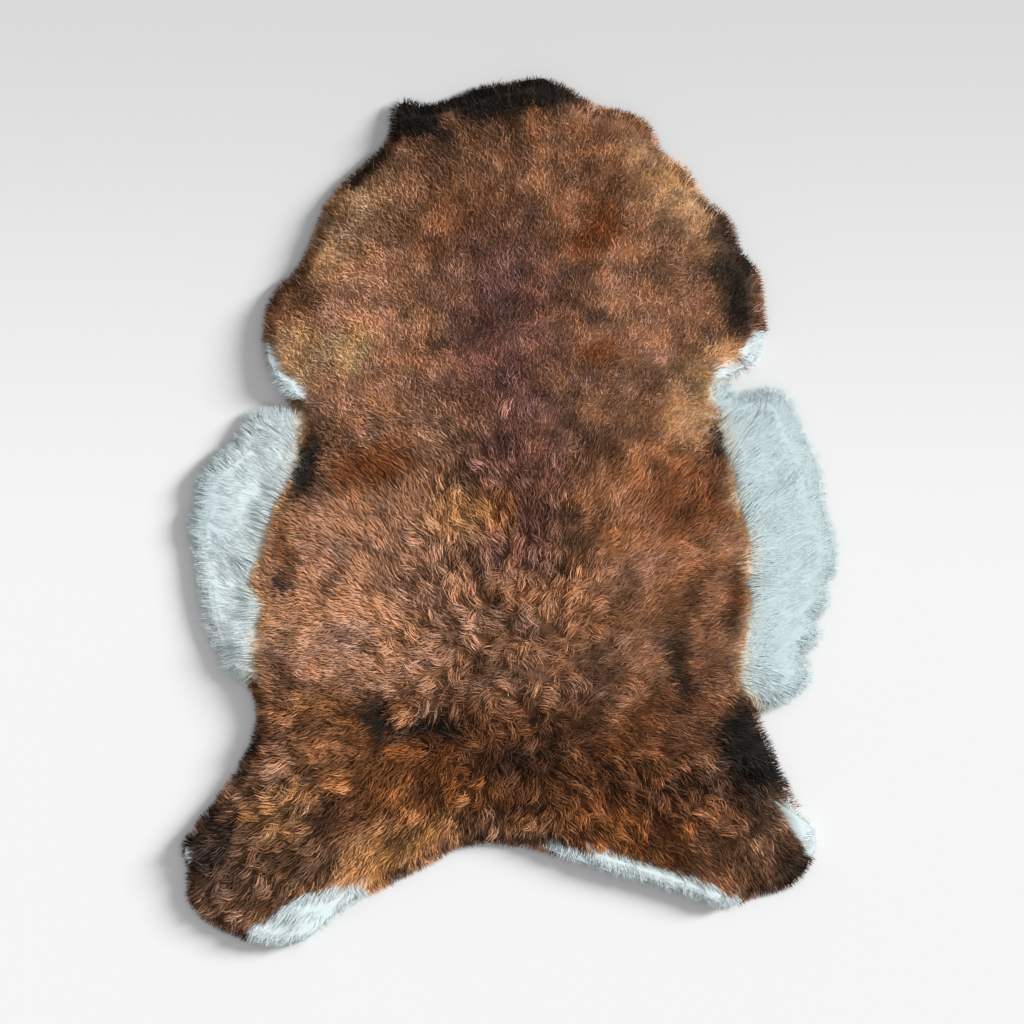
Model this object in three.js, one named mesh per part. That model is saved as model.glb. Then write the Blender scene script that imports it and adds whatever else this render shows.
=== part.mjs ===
// A shorn sheepskin lying flat with its wool side up: one tanned skin with the short wool still on it.
// Millimetres, +Z up. The neck points along +Y and the hind legs along -Y. The back of the skin lies
// flat on Z = 0, and the origin is under the middle of the outline's box.
import * as THREE from "three";

// Driving dimensions
const SKIN_THICKNESS = 2;
const BACK_PILE = 26; // height of the wool on the back, with the skin under it
const FLANK_PILE = 19; // the belly wool on the flanks is shorter
const FLANK_BLEND = 30; // width of the step from back wool to flank wool
const OVERHANG = 10; // how far the wool reaches past the cut edge of the skin
const RIM_LOCKS = 120; // locks of wool round the rim
const STEPS_PER_LOCK = 3;
const LOCK_REACH = { least: 2, most: 7 }; // how far a lock's tip stands out past its valleys
const LOCK_SHAPE = [0, 1, 0.45]; // share of that reach at each step along a lock
const LOCK_VALLEY = 2; // how far the valleys lie inside the outline
const TIP_DROOP = 2.5; // how far a lock's tip hangs below the valleys beside it

// The wool's outline, clockwise from the neck, one row for each point where the edge turns. spine is
// the place on the spine, along Y, where the ring lines of a stretch begin to end.
const OUTLINE = [
  {
    stretch: "neck",
    spine: 290,
    turns: [
      { x: 0, y: 517 },
      { x: 34, y: 523 },
      { x: 65, y: 509 },
      { x: 106, y: 486 },
      { x: 139, y: 481 },
    ],
  },
  {
    stretch: "right shoulder",
    spine: 240,
    turns: [
      { x: 166, y: 461 },
      { x: 178, y: 433 },
      { x: 211, y: 410 },
      { x: 229, y: 380 },
      { x: 265, y: 347 },
      { x: 275, y: 314 },
      { x: 298, y: 287 },
      { x: 304, y: 250 },
      { x: 307, y: 210 },
      { x: 297, y: 180 },
    ],
  },
  {
    stretch: "right armpit",
    spine: 64,
    turns: [
      { x: 272, y: 166 },
      { x: 261, y: 154 },
      { x: 283, y: 137 },
    ],
  },
  {
    stretch: "right flank",
    spine: -56,
    turns: [
      { x: 320, y: 149 },
      { x: 338, y: 132 },
      { x: 353, y: 96 },
      { x: 370, y: 66 },
      { x: 377, y: 20 },
      { x: 395, y: -70 },
      { x: 380, y: -89 },
      { x: 386, y: -112 },
      { x: 368, y: -131 },
      { x: 375, y: -150 },
      { x: 351, y: -173 },
      { x: 363, y: -198 },
      { x: 320, y: -236 },
      { x: 292, y: -231 },
    ],
  },
  {
    stretch: "right leg",
    spine: -125,
    turns: [
      { x: 296, y: -252 },
      { x: 310, y: -288 },
      { x: 340, y: -358 },
      { x: 367, y: -384 },
      { x: 366, y: -408 },
      { x: 342, y: -446 },
      { x: 290, y: -463 },
      { x: 263, y: -480 },
      { x: 226, y: -467 },
      { x: 106, y: -433 },
      { x: 46, y: -413 },
    ],
  },
  {
    stretch: "crotch",
    spine: -192,
    turns: [
      { x: -14, y: -400 },
      { x: -72, y: -407 },
      { x: -116, y: -431 },
    ],
  },
  {
    stretch: "left leg",
    spine: -184,
    turns: [
      { x: -180, y: -462 },
      { x: -216, y: -490 },
      { x: -252, y: -520 },
      { x: -278, y: -526 },
      { x: -330, y: -513 },
      { x: -388, y: -472 },
      { x: -389, y: -432 },
      { x: -398, y: -407 },
      { x: -380, y: -386 },
      { x: -332, y: -322 },
      { x: -312, y: -274 },
      { x: -308, y: -242 },
    ],
  },
  {
    stretch: "left flank",
    spine: -150,
    turns: [
      { x: -323, y: -202 },
      { x: -343, y: -193 },
      { x: -371, y: -132 },
      { x: -385, y: -50 },
      { x: -391, y: -14 },
      { x: -382, y: 12 },
      { x: -383, y: 36 },
      { x: -361, y: 62 },
      { x: -331, y: 90 },
      { x: -316, y: 117 },
      { x: -284, y: 122 },
    ],
  },
  {
    stretch: "left armpit",
    spine: -40,
    turns: [
      { x: -265, y: 119 },
      { x: -260, y: 129 },
      { x: -271, y: 139 },
    ],
  },
  {
    stretch: "left shoulder",
    spine: 74,
    turns: [
      { x: -286, y: 152 },
      { x: -301, y: 212 },
      { x: -290, y: 259 },
      { x: -259, y: 290 },
      { x: -221, y: 373 },
      { x: -146, y: 452 },
      { x: -138, y: 492 },
      { x: -104, y: 488 },
      { x: -40, y: 509 },
    ],
  },
];

// Where the back wool ends and the flank wool begins, at stations along the body.
const BELLY_LINE = [
  { y: 150, left: 270, right: 255 },
  { y: 70, left: 254, right: 262 },
  { y: -20, left: 292, right: 284 },
  { y: -90, left: 308, right: 287 },
  { y: -170, left: 310, right: 280 },
  { y: -230, left: 330, right: 292 },
];

// Hollows where the wool parts: middle, length along the parting, width, depth, and the turn of its
// length from +X.
const PARTINGS = [
  { x: -150, y: -246, long: 46, wide: 30, deep: 9, turn: 80 },
  { x: -98, y: -265, long: 66, wide: 24, deep: 8, turn: 12 },
  { x: 4, y: -281, long: 34, wide: 26, deep: 7, turn: 20 },
  { x: 6, y: -310, long: 30, wide: 26, deep: 7, turn: 0 },
  { x: 196, y: -196, long: 84, wide: 28, deep: 8, turn: 110 },
  { x: 76, y: -24, long: 60, wide: 28, deep: 6, turn: 160 },
  { x: -20, y: 24, long: 52, wide: 26, deep: 6, turn: 130 },
  { x: 70, y: -72, long: 40, wide: 22, deep: 5, turn: 170 },
  { x: -250, y: 74, long: 100, wide: 26, deep: 6, turn: 84 },
  { x: -74, y: -346, long: 60, wide: 26, deep: 6, turn: 25 },
  { x: -56, y: -44, long: 70, wide: 26, deep: 5, turn: 60 },
];

// Lumps of the pile, where tufts stand higher or lower than their neighbours.
const LUMPS = [
  { size: 76, height: 4.2 },
  { size: 40, height: 3 },
];

// The rim in section, from the cut edge of the skin out to the lock tips and up over the wool.
// rise is the share of the pile's height, and lock the share of a lock's reach that shows there.
const RIM_SECTION = [
  { inset: OVERHANG, rise: 0, lock: 0 },
  { inset: OVERHANG, rise: SKIN_THICKNESS / BACK_PILE, lock: 0 },
  { inset: 0, rise: 0.3, lock: 1 },
  { inset: 4, rise: 0.6, lock: 0.7 },
  { inset: 12, rise: 0.84, lock: 0.3 },
  { inset: 27, rise: 0.97, lock: 0 },
];
const TOP_RINGS = 13; // rings from the rim's section to the spine, one point to a lock
const TOP_SPAN = { from: 0.15, to: 0.95 }; // shares of the way from the rim to the spine

const { clamp, degToRad, lerp, mapLinear, smoothstep } = THREE.MathUtils;

// A steady number from 0 to 1 for a place on a lattice.
function steadyNumber(column, row) {
  const wave = Math.sin(column * 127.1 + row * 311.7) * 43758.5453;
  return wave - Math.floor(wave);
}

// A smooth field from -0.5 to 0.5, with one lump or dip to each lattice cell.
function lumpField(x, y) {
  const [column, row] = [Math.floor(x), Math.floor(y)];
  const [u, v] = [smoothstep(x - column, 0, 1), smoothstep(y - row, 0, 1)];
  const below = lerp(steadyNumber(column, row), steadyNumber(column + 1, row), u);
  const above = lerp(steadyNumber(column, row + 1), steadyNumber(column + 1, row + 1), u);
  return lerp(below, above, v) - 0.5;
}

// Half the width of the back wool at y, in straight lines between the rows of BELLY_LINE.
function bellyLine(side, y) {
  const last = BELLY_LINE.length - 1;
  const next = clamp(BELLY_LINE.findIndex((row) => row.y < y), 1, last);
  const [above, below] = [BELLY_LINE[next - 1], BELLY_LINE[next]];
  return mapLinear(clamp(y, below.y, above.y), above.y, below.y, above[side], below[side]);
}

// How far a place is on the flank wool, from 0 on the back to 1.
function flankShare(x, y) {
  if (y > BELLY_LINE[0].y || y < BELLY_LINE.at(-1).y) return 0;
  const past = Math.abs(x) - bellyLine(x < 0 ? "left" : "right", y);
  return smoothstep(past, -FLANK_BLEND / 2, FLANK_BLEND / 2);
}

// Depth of the partings at a place: each is a round-ended hollow that fades out at its sides.
function partingDepth(x, y) {
  let depth = 0;
  for (const parting of PARTINGS) {
    const [cos, sin] = [Math.cos(degToRad(parting.turn)), Math.sin(degToRad(parting.turn))];
    const [dx, dy] = [x - parting.x, y - parting.y];
    const along = (dx * cos + dy * sin) / (parting.long / 2);
    const across = (dy * cos - dx * sin) / (parting.wide / 2);
    depth += parting.deep * Math.exp(-(along ** 2) - across ** 2);
  }
  return depth;
}

// Full height of the wool over a place: back or flank pile, with its lumps and partings.
function pileHeight({ x, y }) {
  const pile = lerp(BACK_PILE, FLANK_PILE, flankShare(x, y));
  const lumps = LUMPS.reduce((sum, { size, height }) => sum + height * lumpField(x / size, y / size), 0);
  return pile + lumps - partingDepth(x, y);
}

// Points evenly spaced along a smooth closed line through the outline's turns. Each has the place on
// the spine where its ring line ends, the way out from there, and the shape of the lock it is on.
function rimPoints() {
  const turns = OUTLINE.flatMap(({ spine, turns }, index) => {
    const nextSpine = OUTLINE[(index + 1) % OUTLINE.length].spine;
    return turns.map(({ x, y }, k) => ({ x, y, spine: lerp(spine, nextSpine, k / turns.length) }));
  });
  const corners = turns.map(({ x, y }) => new THREE.Vector3(x, y, 0));
  const curve = new THREE.CatmullRomCurve3(corners, true, "centripetal");
  curve.arcLengthDivisions = 4000;
  const count = RIM_LOCKS * STEPS_PER_LOCK;
  return Array.from({ length: count }, (_, index) => {
    const along = curve.getUtoTmapping(index / count);
    const point = curve.getPoint(along);
    const turn = Math.floor(along * turns.length);
    const [before, after] = [turns[turn], turns[(turn + 1) % turns.length]];
    const rim = new THREE.Vector2(point.x, point.y);
    const spine = new THREE.Vector2(0, lerp(before.spine, after.spine, along * turns.length - turn));
    const out = rim.clone().sub(spine).normalize();
    const lock = Math.floor(index / STEPS_PER_LOCK);
    const most = lerp(LOCK_REACH.least, LOCK_REACH.most, steadyNumber(lock, 0));
    const tip = LOCK_SHAPE[index % STEPS_PER_LOCK];
    return { rim, spine, out, tip, reach: most * tip - LOCK_VALLEY };
  });
}

// One ring of the rim's section, with a point for every step of every lock.
function sectionRing(points, { inset, rise, lock }) {
  return points.map(({ rim, out, tip, reach }) => {
    const place = rim.clone().addScaledVector(out, reach * lock - inset);
    const full = rise * BACK_PILE > SKIN_THICKNESS ? pileHeight(place) : BACK_PILE;
    const droop = lock === 1 ? TIP_DROOP * tip : 0;
    return new THREE.Vector3(place.x, place.y, full * rise - droop);
  });
}

// One ring on top of the wool, a share of the way from the rim to the spine, with a point to a lock.
function topRing(points, share) {
  const ends = points.filter((_, index) => index % STEPS_PER_LOCK === 0);
  return ends.map(({ rim, spine }) => {
    const place = rim.clone().lerp(spine, share);
    return new THREE.Vector3(place.x, place.y, pileHeight(place));
  });
}

// Corners of the triangles that fill the first ring flat, facing down.
function underside(ring) {
  const contour = ring.map(({ x, y }) => new THREE.Vector2(x, y));
  return THREE.ShapeUtils.triangulateShape(contour, []).flatMap((corners) => {
    const area = THREE.ShapeUtils.area(corners.map((corner) => contour[corner]));
    return area < 0 ? corners : corners.toReversed();
  });
}

// Corners of the triangles that close the last, narrow ring. Its two sides are joined across the spine
// from the neck down, each step taking the side whose next point is nearer the neck.
function spineSeam(ring) {
  const count = ring.length;
  const wrap = (index) => (index + count) % count;
  const heights = ring.map(({ y }) => y);
  let left = heights.indexOf(Math.max(...heights));
  let right = left + 1;
  const corners = [];
  while (right + 1 < left + count) {
    if (heights[wrap(right + 1)] > heights[wrap(left - 1)]) {
      corners.push(wrap(left), wrap(right + 1), wrap(right));
      right += 1;
    } else {
      corners.push(wrap(left), wrap(left - 1), wrap(right));
      left -= 1;
    }
  }
  return corners;
}

// Joins rings into a closed solid. A ring has as many points as the one before it or a whole share of
// them. The first ring is filled from below and the last is closed along the spine.
function ringSolid(rings) {
  const starts = [];
  rings.reduce((sum, ring, index) => (starts[index] = sum) + ring.length, 0);
  const faces = [];
  for (let k = 0; k + 1 < rings.length; k++) {
    const [outer, inner] = [rings[k].length, rings[k + 1].length];
    const step = outer / inner;
    const onOuter = (index) => starts[k] + (index % outer);
    for (let i = 0; i < inner; i++) {
      const here = starts[k + 1] + i;
      const next = starts[k + 1] + ((i + 1) % inner);
      const middle = i * step + Math.ceil(step / 2);
      for (let j = i * step; j < (i + 1) * step; j++) {
        faces.push(onOuter(j + 1), onOuter(j), j < middle ? here : next);
      }
      faces.push(onOuter(middle), here, next);
    }
  }
  faces.push(...underside(rings[0]));
  faces.push(...spineSeam(rings.at(-1)).map((corner) => starts.at(-1) + corner));
  const geometry = new THREE.BufferGeometry().setFromPoints(rings.flat());
  geometry.setIndex(faces);
  geometry.computeVertexNormals();
  return geometry;
}

// The sheepskin: skin and wool in one piece, set over the middle of its own box.
function makeSheepskin() {
  const points = rimPoints();
  const rings = RIM_SECTION.map((row) => sectionRing(points, row));
  for (let k = 0; k < TOP_RINGS; k++) {
    const share = lerp(TOP_SPAN.from, TOP_SPAN.to, k / (TOP_RINGS - 1));
    rings.push(topRing(points, share));
  }
  const geometry = ringSolid(rings);
  geometry.computeBoundingBox();
  const middle = geometry.boundingBox.getCenter(new THREE.Vector3());
  geometry.translate(-middle.x, -middle.y, 0);
  const brownWool = new THREE.MeshStandardMaterial({ color: 0x6b452c, roughness: 0.9, metalness: 0 });
  const sheepskin = new THREE.Mesh(geometry, brownWool);
  sheepskin.name = "sheepskin";
  return sheepskin;
}

const part = new THREE.Group();
part.add(makeSheepskin());

export default part;
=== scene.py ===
"""A shorn sheepskin lying wool side up, dressed over its solid: suede skin, under-wool and locks."""

import collections
import itertools

import bpy
import numpy as np
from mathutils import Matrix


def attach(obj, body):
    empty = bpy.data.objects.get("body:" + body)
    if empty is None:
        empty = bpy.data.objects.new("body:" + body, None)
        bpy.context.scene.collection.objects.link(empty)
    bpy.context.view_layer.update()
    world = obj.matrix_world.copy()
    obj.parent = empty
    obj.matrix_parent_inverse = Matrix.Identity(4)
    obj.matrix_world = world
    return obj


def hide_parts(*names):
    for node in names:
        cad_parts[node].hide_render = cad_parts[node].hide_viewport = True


bl_info = {
    "name": "Shorn Sheepskin",
    "version": (1, 0, 0),
    "blender": (4, 5, 0),
    "location": "3D View > Sidebar > Sheepskin",
    "description": "Dresses a flat sheepskin solid with a suede skin, under-wool and combed locks",
    "category": "Add Mesh",
}

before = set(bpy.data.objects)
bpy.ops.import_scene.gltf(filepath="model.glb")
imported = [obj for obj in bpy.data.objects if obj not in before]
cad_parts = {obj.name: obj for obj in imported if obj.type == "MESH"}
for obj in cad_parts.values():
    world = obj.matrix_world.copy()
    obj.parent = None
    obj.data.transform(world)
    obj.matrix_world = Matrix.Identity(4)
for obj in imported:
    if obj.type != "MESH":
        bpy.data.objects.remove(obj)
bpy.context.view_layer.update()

MM = 0.001
NODE = "sheepskin"
BODY = "root"

# The photograph's frame: a square seen from straight above.
PHOTO_SIDE_PX = 1024
PHOTO_MM_PER_PX = 1.2

# Wool tints as they look in soft light, in sRGB from 0 to 255. Pink, red, purple, grey, dark and black
# are browns of that cast.
TINTS = {
    "brown": (160, 116, 87),
    "pink": (207, 153, 118),
    "red": (189, 129, 88),
    "rust": (144, 82, 41),
    "purple": (134, 92, 79),
    "grey": (132, 102, 84),
    "gold": (208, 149, 93),
    "amber": (156, 97, 48),
    "umber": (116, 84, 62),
    "tan": (206, 161, 118),
    "straw": (228, 186, 138),
    "dark": (102, 58, 27),
    "black": (40, 35, 31),
    "white": (238, 252, 254),
    # A greyer white, laid on the flanks as painted shade.
    "shaded_white": (216, 233, 235),
    "cream": (240, 226, 200),
}

# How wool grows warmer as it darkens and paler as it lightens: the power of a shade in red, green and
# blue, which warms the painted shade of roots, under-wool and rim and pales the lighter locks.
DEEPENING = np.array([0.94, 1.03, 1.14])

# An oval on the hide: its middle and half sizes in millimetres, and the lie of its long side from +X in
# degrees. A patch is such an oval with a tint and the share of it that shows.
Oval = collections.namedtuple("Oval", "x y long wide turn")
Patch = collections.namedtuple("Patch", "tint x y long wide turn cover")

# Patches of tint on the brown wool, laid in order.
PATCHES = [Patch(*row) for row in (
    ("amber", 0, 410, 190, 110, 0, 0.2),
    ("tan", 200, 362, 90, 45, -52, 0.9),
    ("tan", -200, 348, 84, 48, 56, 0.9),
    ("pink", -165, 240, 90, 70, 60, 0.8),
    ("pink", 172, 235, 90, 60, 100, 0.3),
    ("pink", -190, -85, 130, 115, 0, 0.95),
    ("red", 150, -60, 150, 120, 90, 0.7),
    ("umber", 138, -150, 90, 62, 20, 0.6),
    ("rust", 215, 15, 70, 45, 70, 0.6),
    ("purple", 0, 185, 170, 85, 92, 0.95),
    ("purple", 18, 35, 95, 60, 100, 0.75),
    ("purple", 5, -20, 60, 40, 80, 0.7),
    ("rust", 104, 338, 46, 34, 80, 0.9),
    ("rust", 96, 186, 30, 20, 30, 0.8),
    ("rust", -170, 48, 62, 32, 8, 0.9),
    ("dark", -170, 48, 62, 32, 8, 0.15),
    ("dark", 10, 0, 70, 46, 80, 0.3),
    ("rust", -64, 350, 70, 34, 20, 0.4),
    ("pink", -222, 116, 46, 26, -10, 0.8),
    ("tan", 222, 145, 80, 44, 60, 0.85),
    ("straw", 246, 142, 46, 20, 70, 0.95),
    ("straw", -191, 186, 34, 25, 0, 1.0),
    ("pink", -96, -16, 90, 44, 20, 0.8),
    ("gold", -62, -2, 60, 30, 30, 0.7),
    ("tan", -262, 188, 44, 28, 100, 0.8),
    ("gold", -262, 215, 60, 20, 95, 0.3),
    ("straw", -246, 184, 48, 34, 0, 0.6),
    ("dark", 70, -305, 170, 75, 0, 0.84),
    ("amber", -200, -260, 90, 60, 0, 0.6),
    ("amber", -130, -330, 100, 50, 10, 0.8),
    ("gold", -160, -424, 130, 36, 28, 0.9),
    ("umber", -290, -400, 130, 90, 50, 0.9),
    ("gold", -265, -345, 60, 30, 50, 0.45),
    ("amber", 165, -395, 120, 40, -15, 0.8),
    ("dark", 165, -380, 130, 56, -15, 0.25),
    ("dark", -190, -285, 100, 60, 10, 0.3),
    ("dark", 196, -250, 66, 46, 0, 0.55),
    ("umber", 300, -410, 80, 56, 0, 0.8),
    ("dark", 225, -362, 70, 36, 0, 0.55),
    ("pink", 180, 302, 54, 28, 0, 0.6),
    ("pink", -136, 164, 42, 38, 90, 0.6),
    ("pink", 58, 156, 34, 28, 0, 0.35),
    ("pink", -60, 112, 50, 28, 0, 0.35),
    ("pink", 130, -82, 50, 30, 0, 0.6),
    ("pink", -134, -76, 34, 30, 0, 0.5),
    ("dark", 10, -236, 100, 34, 0, 0.5),
    ("dark", 154, -226, 36, 30, 0, 0.35),
    ("dark", -36, -300, 70, 56, 0, 0.6),
    ("dark", -128, -278, 66, 38, 0, 0.85),
    ("dark", -125, -366, 115, 32, 8, 0.6),
    ("dark", -228, -322, 50, 30, 0, 0.3),
    ("black", 338, -426, 36, 18, 50, 0.7),
    ("dark", -255, 260, 40, 24, 50, 0.5),
    ("black", 78, -22, 36, 24, 150, 0.6),
    ("black", 62, -68, 28, 14, 170, 0.6),
    ("dark", -65, -60, 26, 14, 60, 0.7),
    ("dark", -22, 22, 30, 16, 130, 0.8),
    ("black", 188, -192, 62, 17, 96, 0.85),
    ("dark", -278, -50, 44, 16, 105, 0.8),
    ("black", -284, -86, 24, 9, 5, 0.9),
    ("dark", 262, 40, 90, 14, 98, 0.8),
    ("black", 248, 86, 40, 20, 98, 0.95),
    ("dark", 276, -110, 60, 16, 88, 0.7),
    ("black", 268, -124, 30, 13, 80, 0.6),
    ("black", -40, 496, 130, 22, 6, 1.0),
    ("black", -120, 468, 40, 26, 40, 1.0),
    ("black", -108, 450, 38, 17, 140, 0.85),
    ("black", 0, 462, 34, 12, 85, 0.7),
    ("black", 34, 514, 48, 24, -8, 0.95),
    ("black", -34, 478, 46, 12, 5, 0.8),
    ("black", -170, 418, 34, 16, 48, 0.9),
    ("grey", 272, 284, 90, 34, 112, 0.75),
    ("black", 268, 288, 36, 22, 118, 0.85),
    ("black", 281, 246, 34, 22, 100, 0.9),
    ("black", 251, 336, 22, 13, 60, 0.75),
    ("black", -258, 58, 52, 22, 80, 1.0),
    ("dark", -120, -245, 80, 40, 0, 0.7),
    ("black", -156, -246, 38, 28, 80, 0.95),
    ("pink", -100, -240, 34, 14, 15, 0.8),
    ("black", -92, -268, 52, 15, 8, 0.95),
    ("black", 2, -278, 24, 12, 10, 0.8),
    ("black", 48, -284, 52, 32, 20, 0.45),
    ("black", 6, -312, 20, 14, 0, 0.8),
    ("black", 290, -296, 92, 40, 108, 1.0),
    ("black", -312, -280, 36, 12, 60, 0.8),
    ("black", -352, -392, 56, 24, 58, 0.8),
    ("black", -360, -450, 80, 36, 100, 0.35),
    ("black", 60, -394, 34, 9, -25, 0.9),
    ("black", -246, -322, 14, 10, 0, 0.8),
)]

# Patches of white wool away from the flanks.
WHITE_PATCHES = [
    Oval(-292, 176, 34, 12, 108),
    Oval(-273, 153, 24, 13, -20),
    Oval(296, 188, 30, 19, 60),
    Oval(262, 148, 28, 16, 135),
    Oval(282, 168, 24, 14, 30),
    Oval(286, -208, 18, 12, -40),
    Oval(-246, -490, 78, 29, 26),
    Oval(-396, -412, 14, 10, 0),
    Oval(360, -374, 58, 22, 112),
    Oval(158, -443, 126, 22, -16),
]

# The line where the brown back wool ends and the white flank wool begins: stations along the body and how
# far out the line is on each side of the spine, in millimetres. Past the end stations no wool is flank, so
# the depth past the line is a large negative one there.
FAR_FROM_FLANK = -400.0
Station = collections.namedtuple("Station", "y left right")
BELLY_LINE = [
    Station(-248, 400, 310),
    Station(-222, 400, 292),
    Station(-210, 400, 280),
    Station(-204, 314, 276),
    Station(-150, 309, 283),
    Station(-106, 300, 288),
    Station(-88, 313, 286),
    Station(-40, 300, 289),
    Station(0, 288, 274),
    Station(38, 268, 266),
    Station(70, 256, 261),
    Station(116, 257, 250),
    Station(132, 260, 240),
    Station(142, 400, 238),
    Station(158, 400, 246),
    Station(164, 400, 400),
]

# Where the wool is tufted and curly instead of short and combed.
TUFTED = [
    Oval(-10, -130, 210, 130, 95),
    Oval(-280, -370, 150, 85, 55),
    Oval(120, -340, 200, 80, 0),
]

# Tints that soften the belly line, on its white and on its brown side. Each fades between two depths past
# the line, in millimetres.
Fringe = collections.namedtuple("Fringe", "tint cover start end")
WHITE_FRINGE = (Fringe("cream", 0.8, -4, 12), Fringe("straw", 0.6, -9, 1))
BROWN_FRINGE = (Fringe("gold", 0.7, -20, -6), Fringe("straw", 0.85, -11, -1))

# Layers of soft noise: how strong each is, the size of its cells in millimetres and its seed. The first
# two pairs move places about, in millimetres along X and along Y.
Noise = collections.namedtuple("Noise", "strength size seed")
RAGGED_PATCHES = [
    (Noise(16, 44, seed), Noise(8, 17, seed + 2), Noise(4, 7, seed + 4)) for seed in (21, 22)
]
RAGGED_NAP = [(Noise(55, 40, seed),) for seed in (27, 28)]
NAP_WAVER = (Noise(0.28, 70, 9), Noise(0.3, 28, 10))
MOTTLE = (Noise(0.16, 45, 7), Noise(0.42, 18, 8), Noise(0.38, 9, 17))
WARMTH = (Noise(1, 26, 18), Noise(1, 12, 19))
RAGGED_RIM = (Noise(2.5, 32, 15),)

# How far warmer and cooler places change the wool's red, green and blue, and how far single locks differ.
WARMTH_OF_PLACE = np.array([0, 0.05, 0.16])
WARMTH_OF_LOCK = np.array([0, 0.045, 0.13])

# The nap runs outwards and, up to the neck, forwards from a whorl over the loin. Round the whorl, out to
# its radius, tufts swing further aside.
WHORL = np.array([-8.0, -214.0])
WHORL_RADIUS = 90.0
WHORL_SWING = 4.0
FORWARD_LEAN = 0.68

# The rim in section: distance inside the cut edge of the skin against the share of the pile's height.
RIM_DISTANCE = (-13, -10, -6, 2, 17)
RIM_RISE = (0.16, 0.3, 0.6, 0.84, 1.0)

# Locks start up to so far past the skin's edge, in millimetres, and turn outwards this close to it.
ROOTS_PAST_EDGE = 5.0
EDGE_BAND = 30.0

# Of the locks that start this close to the edge, this share reaches out past it by the overhang, if that
# takes no longer reach than the last figure. Brown locks hang over further, and white edgings less.
RIM_BAND = 15.0
RIM_SHARE = 0.8
OVERHANG = 9.0
BROWN_OVERHANG = 2.5
EDGING_OVERHANG = -4.0
LONGEST_REACH = 26.0

# No lock lies lower than this over the floor, in millimetres.
LOWEST_LOCK = 2.4

# Brown wool pieces by the station along the body where each begins. The rump is parted near the middle.
ZONES = {
    "rump_wool": -600,
    "loin_wool": -235,
    "waist_wool": -115,
    "back_wool": 20,
    "shoulder_wool": 165,
    "neck_wool": 300,
}
RUMP_PARTING = -20.0

# A kind of lock, which is a three-sided spindle. Each row of its shape is a point along it: its shares of
# the reach, the rise and the sideways curl, its share of the full width and its shade, which is painted
# shade towards the root and a paler, bleached tip. Root is the share of the pile where it starts, reach
# the setting for how far it lies over, swing how far its tuft turns aside and stray how far it turns from
# its tuft, in radians, curl its sideways bow, drawn how much its tip is drawn to its tuft's, inside and at
# the rim, and tuft and width are shares of the settings' sizes.
Lock = collections.namedtuple("Lock", "shape root reach swing stray curl drawn rim_drawn tuft width")


def plain_shape(reach, rise, root_shade, middle_shade, tip_shade):
    """A lock with one bend: the bend's shares of the reach and the rise, and the shades along the lock."""
    bend = (reach, rise, 1, 1, middle_shade)
    return np.array([(0, 0, 0, 0, root_shade), bend, (1, 1, 0.4, 0, tip_shade)])


COMBED = Lock(
    shape=plain_shape(0.42, 0.82, 0.78, 0.96, 1.06),
    root=0.72, reach="combed_reach", swing=0.6, stray=0.24, curl=0.0, drawn=0.25, rim_drawn=0.1,
    tuft=0.6, width=1.0,
)
SHORN = Lock(
    shape=plain_shape(0.45, 0.9, 0.72, 0.95, 1.1),
    root=0.76, reach="shorn_reach", swing=0.8, stray=0.6, curl=0.0, drawn=0.2, rim_drawn=0.1,
    tuft=0.5, width=0.95,
)
CURLY = Lock(
    shape=np.array([
        (0, 0, 0, 0, 0.55),
        (0.26, 0.72, 0.5, 1, 0.82),
        (0.66, 1.04, 1, 0.85, 1.02),
        (1, 0.95, 0.85, 0, 1.1),
    ]),
    root=0.58, reach="curly_reach", swing=1.4, stray=0.24, curl=0.8, drawn=0.45, rim_drawn=0.2,
    tuft=1.0, width=1.1,
)
FLANK = Lock(
    shape=plain_shape(0.42, 0.82, 0.95, 0.99, 1.02),
    root=0.93, reach="flank_reach", swing=0.3, stray=0.1, curl=0.0, drawn=0.25, rim_drawn=0.45,
    tuft=1.0, width=0.7,
)

# The under-wool: its height as a share of the pile, how much higher it stands under white wool and more
# so under white edgings and the lower left flank, and, in millimetres, how far it is drawn in at the rim,
# how that fades from the rim inwards, how far its white reaches in under the brown locks and how far it
# clears the skin.
UNDER_HEIGHT = 0.7
WHITE_FILL = 0.17
EXTRA_FILL = 0.06
UNDER_DRAWN_IN = {"brown": 6.0, "flank": 10.0, "edging": 5.0}
UNDER_RIM = 12.0
UNDER_FADE = 14.0
UNDER_SPREAD = 8.0
UNDER_CLEARANCE = 0.05

# Stations along the body, in millimetres, between which the combed wool gives way to close-shorn wool.
SHORN_FROM = 10.0
SHORN_TO = 130.0

# Seeds of the tufts' places, of how each tuft lies and of its kind of lock.
TUFT_SEED = 12
LIE_SEED = 14
KIND_SEED = 16

# Cells across the locks' flat layout, a cell to a lock, the fibres across and along a cell, and those to
# a metre of felted under-wool.
CELLS_ACROSS = 170
FIBRES_ACROSS = 12.0
FIBRES_ALONG = 1.5
FELT_FIBRES = 600.0

# The meshes' layers that the materials read: the flat layout and the wool's tint.
FLAT_LAYER = "OFBake"
TINT_LAYER = "wool_tint"

# Depth of the finest bumps, in metres.
FIBRE_DEPTH = 0.0004

# Half the side of the floor, in metres.
FLOOR_HALF = 15.0

# Where locks start: places, distances inside the skin's edge, ways out to it and heights of the pile.
Roots = collections.namedtuple("Roots", "place distance out pile")


def linear(tint):
    """Linear light of a tint in sRGB from 0 to 255: the usual curve, a line below its foot."""
    value = np.asarray(tint, float) / 255
    return np.where(value <= 0.04045, value / 12.92, ((value + 0.055) / 1.055) ** 2.4)


def ease(value, low, high):
    """A smooth step from 0 at low to 1 at high."""
    share = np.clip((value - low) / (high - low), 0, 1)
    return share * share * (3 - 2 * share)


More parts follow.
